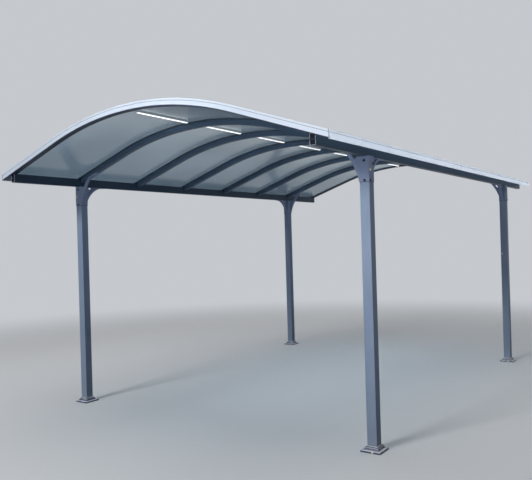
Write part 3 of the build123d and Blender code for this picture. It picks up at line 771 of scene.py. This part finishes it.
def camera_at(place, yaw, pitch, roll, focal_pixels):
    """A camera that looks along +Y turned by yaw about Z, raised by pitch and rolled."""
    cy, sy, cp, sp = math.cos(yaw), math.sin(yaw), math.cos(pitch), math.sin(pitch)
    ahead0, right0, up0 = np.array([sy, cy, 0]), np.array([cy, -sy, 0]), np.array([0, 0, 1.0])
    ahead, up = cp * ahead0 + sp * up0, -sp * ahead0 + cp * up0
    right = math.cos(roll) * right0 + math.sin(roll) * up
    up = -math.sin(roll) * right0 + math.cos(roll) * up
    data = bpy.data.cameras.new("camera")
    data.sensor_width = 36.0
    data.lens = focal_pixels * data.sensor_width / PICTURE_WIDTH
    data.clip_start, data.clip_end = 0.05, 200.0
    camera = bpy.data.objects.new("camera", data)
    camera.matrix_world = turned_to(place, right, up, -ahead)
    bpy.context.scene.collection.objects.link(camera)
    bpy.context.scene.camera = camera


BACKDROP_COLOR = (0.56, 0.58, 0.61, 1)
# The floor's colour where it is seen, and in the light that it bounces
FLOOR_COLOR, FLOOR_BOUNCE_COLOR = (0.84, 0.86, 0.885, 1), (0.28, 0.29, 0.30, 1)
FLOOR_HALF = 90.0
# Distances from the middle over which the floor runs out into the backdrop
FADE_FROM, FADE_TO = 3.2, 9.0
# The even light from all round
FILL_COLOR, FILL_LEVEL = (0.97, 0.985, 1.0, 1), 0.055


def seen_directly(w):
    """1 for what the camera, metal and glass see, 0 for light that falls on the object."""
    path = w.node("ShaderNodeLightPath")
    direct = w.math("MAXIMUM", path.outputs["Is Camera Ray"], path.outputs["Is Transmission Ray"])
    return w.math("MAXIMUM", direct, path.outputs["Is Glossy Ray"])


def mix_shaders(w, factor, first, second, output):
    """Feeds an output with two shaders mixed by a factor."""
    choose = w.node("ShaderNodeMixShader")
    w.feed(choose.inputs[0], factor)
    w.feed(choose.inputs[1], first.outputs[0])
    w.feed(choose.inputs[2], second.outputs[0])
    w.feed(w.tree.nodes[output].inputs[0], choose.outputs[0])


def make_world():
    """An even studio: the backdrop colour for the camera, metal and glass, a fill level for the rest."""
    world = bpy.data.worlds.new("studio")
    bpy.context.scene.world = world
    world.use_nodes = True
    w = Wiring(world.node_tree)
    seen = world.node_tree.nodes["Background"]
    seen.inputs["Color"].default_value = BACKDROP_COLOR
    fill = w.node("ShaderNodeBackground")
    fill.inputs["Color"].default_value = FILL_COLOR
    fill.inputs["Strength"].default_value = FILL_LEVEL
    mix_shaders(w, seen_directly(w), fill, seen, "World Output")


def make_floor():
    """A wide level floor: pale where it is seen, darker in what it bounces, run out into the backdrop."""
    side = np.array([-1.0, 1.0]) * FLOOR_HALF
    x, y = np.meshgrid(side, side, indexing="ij")
    mesh = bpy.data.meshes.new("studio_floor")
    mesh.from_pydata(np.stack([x, y, np.zeros_like(x)], -1).reshape(-1, 3).tolist(), [], [(0, 2, 3, 1)])
    floor = bpy.data.objects.new("studio_floor", mesh)
    bpy.context.scene.collection.objects.link(floor)
    made, w, shader, place = new_material("studio_floor")
    w.feed(shader.inputs["Base Color"], w.mix(seen_directly(w), FLOOR_BOUNCE_COLOR, FLOOR_COLOR))
    shader.inputs["Roughness"].default_value = 0.9
    shader.inputs["Specular IOR Level"].default_value = 0.1
    far = w.node("ShaderNodeEmission")
    far.inputs["Color"].default_value = BACKDROP_COLOR
    reach = w.node("ShaderNodeVectorMath", operation="LENGTH")
    w.feed(reach.inputs[0], place)
    mix_shaders(w, w.ramp(reach.outputs["Value"], FADE_FROM, FADE_TO), shader, far, "Material Output")
    mesh.materials.append(made)


def add_softbox(name, place, aim, width, height, level, spread=180.0):
    """A soft panel lamp turned to the aimed point; level is what it adds there to a white surface facing it.

    The panel's form factor gives its energy, and a spread under 180 degrees stands for a grid before it."""
    place, aim = np.array(place, float), np.array(aim, float)
    distance = float(np.linalg.norm(place - aim))
    x, y = width / 2 / distance, height / 2 / distance
    rx, ry = math.sqrt(1 + x * x), math.sqrt(1 + y * y)
    factor = 2 / math.pi * (x / rx * math.atan(y / rx) + y / ry * math.atan(x / ry))
    half = math.radians(min(spread, 179.0)) / 2
    narrowing = math.tan(half) / (math.tan(half) - half)
    lamp = bpy.data.lights.new(name, "AREA")
    lamp.shape = "RECTANGLE"
    lamp.size, lamp.size_y = width, height
    lamp.spread = math.radians(spread)
    lamp.energy = level * math.pi * width * height / factor / narrowing
    thing = bpy.data.objects.new(name, lamp)
    back = (place - aim) / distance
    right = np.cross([0.0, 0.0, 1.0], back)
    right /= np.linalg.norm(right)
    thing.matrix_world = turned_to(place, right, np.cross(back, right), back)
    thing.visible_camera = False
    bpy.context.scene.collection.objects.link(thing)


camera_at((3.25674, -5.64913, 1.40272), yaw=-0.59845, pitch=0.0023, roll=-0.02883, focal_pixels=643.29)
make_world()
make_floor()
add_softbox("front_light", (-1.6, -12.0, 6.2), (-0.2, -2.2, 1.6), width=3.0, height=2.0, level=0.56)
add_softbox("post_light", (1.45, -4.8, 1.65), (1.42, -1.75, 1.22), width=0.7, height=1.0, level=0.32,
            spread=50.0)
add_softbox("trim_light", (0.5, -6.2, 4.2), (0.30, -2.47, 2.32), width=0.9, height=0.5, level=0.68,
            spread=32.0)
add_softbox("sky_light", (0.0, 0.5, 6.5), (0.0, 0.49, 0.0), width=7.0, height=9.0, level=0.44)
add_softbox("eave_light", (1.70, 0.0, 1.905), (1.54, 0.0, 1.995), width=5.2, height=0.06, level=3.4,
            spread=50.0)

bpy.context.scene.view_settings.view_transform = "Standard"
